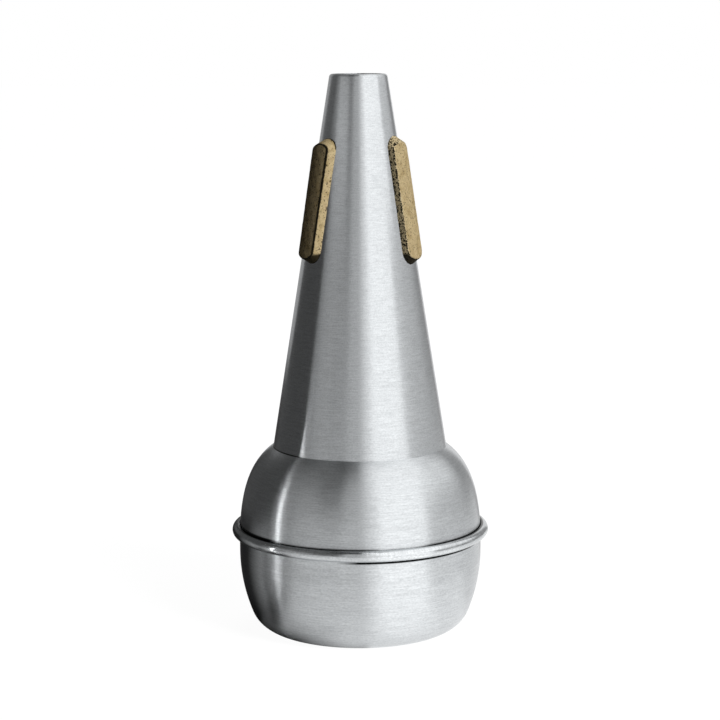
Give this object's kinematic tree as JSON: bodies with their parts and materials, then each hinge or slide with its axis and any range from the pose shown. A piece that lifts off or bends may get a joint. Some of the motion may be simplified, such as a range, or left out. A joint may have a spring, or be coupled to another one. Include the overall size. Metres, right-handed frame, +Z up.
{
  "type": "trombone straight mute",
  "caption": "Hollow cone on a round closed cup, with a rolled seam and cork pads that hold it in an instrument's bell.",
  "frame": {"origin": "centre of the flat base, on the mute's axis", "axes": "+Z up the mute's axis from the base to the open mouth, -Y towards the viewer of the picture, +X to the right"},
  "size_m": [0.1212, 0.1212, 0.2612],
  "materials": {
    "spun_aluminium_body": "satin, brushed round the axis",
    "spun_aluminium_cup": "satin, brushed round the axis",
    "cork": "matt natural cork with dark flecks"
  },
  "bodies": {
    "root": {"body_shell": "spun_aluminium_body", "base_cup": "spun_aluminium_cup", "cork_pad_left": "cork", "cork_pad_right": "cork", "cork_pad_rear": "cork"}
  },
  "joints": []
}
